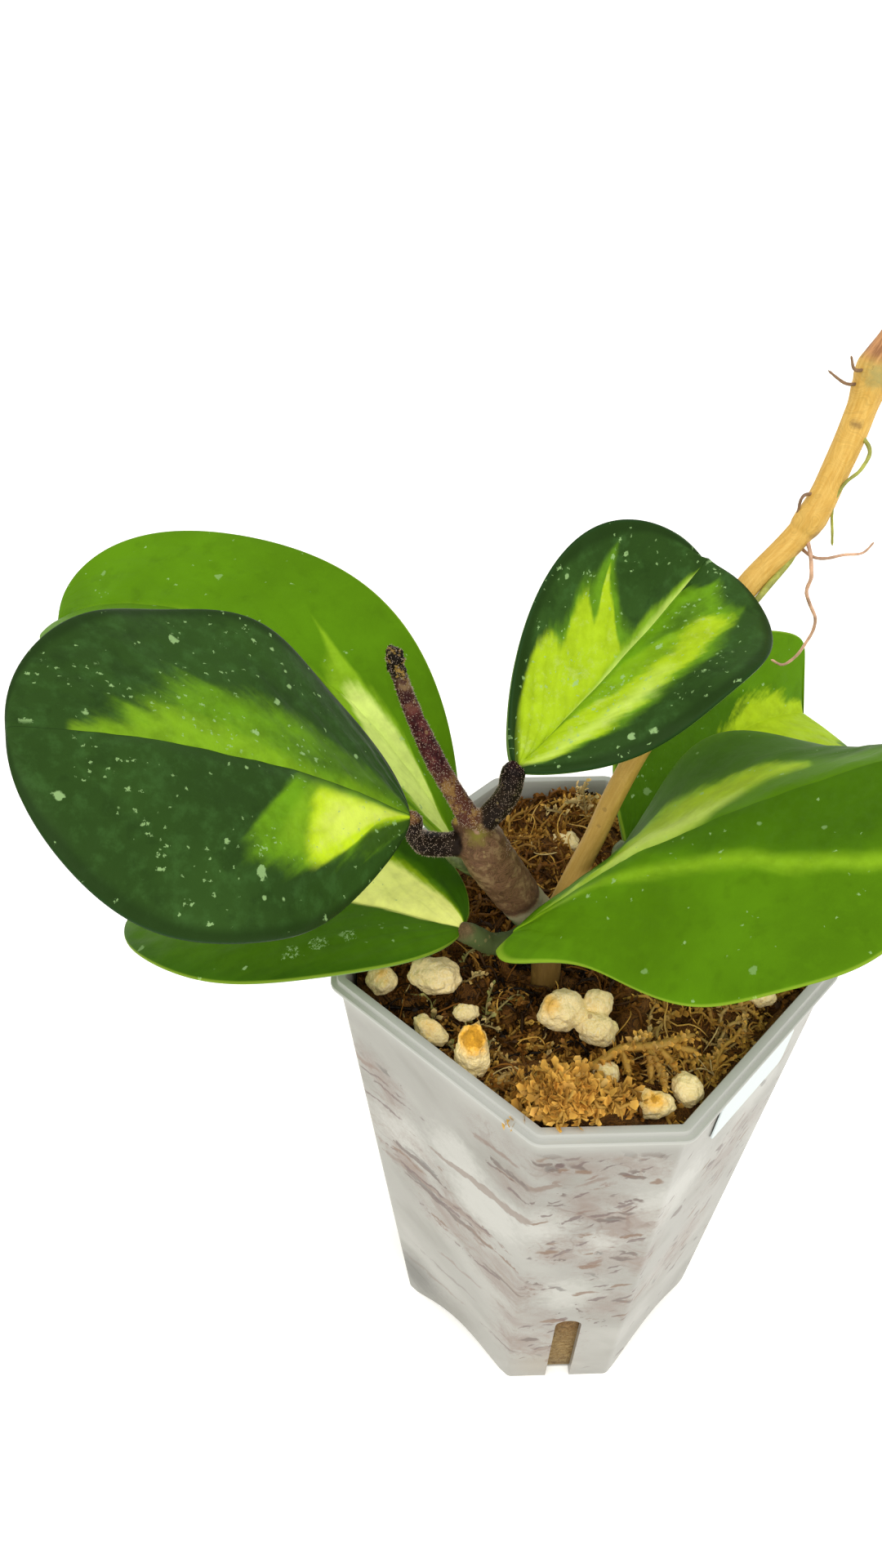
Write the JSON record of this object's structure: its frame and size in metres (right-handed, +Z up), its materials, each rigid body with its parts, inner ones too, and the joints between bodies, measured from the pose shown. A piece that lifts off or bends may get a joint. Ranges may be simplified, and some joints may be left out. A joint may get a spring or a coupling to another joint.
{
  "type": "potted variegated hoya obovata",
  "caption": "Young trailing plant with broad waxy green leaves splashed lime, a woody vine and a fresh shoot, in a square tapered translucent pot of moss.",
  "frame": {"origin": "centre of the pot's underside, on the floor", "axes": "+Z up along the pot's axis, -Y towards the viewer of the picture through a cut corner of the pot, +X to the viewer's right, the side the woody vine leans to"},
  "size_m": [0.1428, 0.0998, 0.1976],
  "materials": {
    "pot_plastic": "frosted translucent",
    "label_paper": "smooth blank",
    "moss": "damp fibrous",
    "perlite": "rough",
    "cane_bark": "dry bark",
    "shoot_skin": "finely hairy",
    "green_stalk": "satin",
    "young_leaf": "waxy",
    "mature_leaf": "waxy"
  },
  "bodies": {
    "root": {"cane": "cane_bark", "label": "label_paper", "leaf_front_left": "young_leaf", "leaf_low_left": "mature_leaf", "leaf_rear_left": "mature_leaf", "leaf_rear_right": "mature_leaf", "leaf_right": "mature_leaf", "leaf_upper_right": "young_leaf", "moss": "moss", "perlite_01": "perlite", "perlite_02": "perlite", "perlite_03": "perlite", "perlite_04": "perlite", "perlite_05": "perlite", "perlite_06": "perlite", "perlite_07": "perlite", "perlite_08": "perlite", "perlite_09": "perlite", "perlite_10": "perlite", "perlite_11": "perlite", "perlite_12": "perlite", "pot": "pot_plastic", "rear_left_stalk": "green_stalk", "rear_right_stalk": "green_stalk", "shoot": "shoot_skin"}
  },
  "joints": []
}
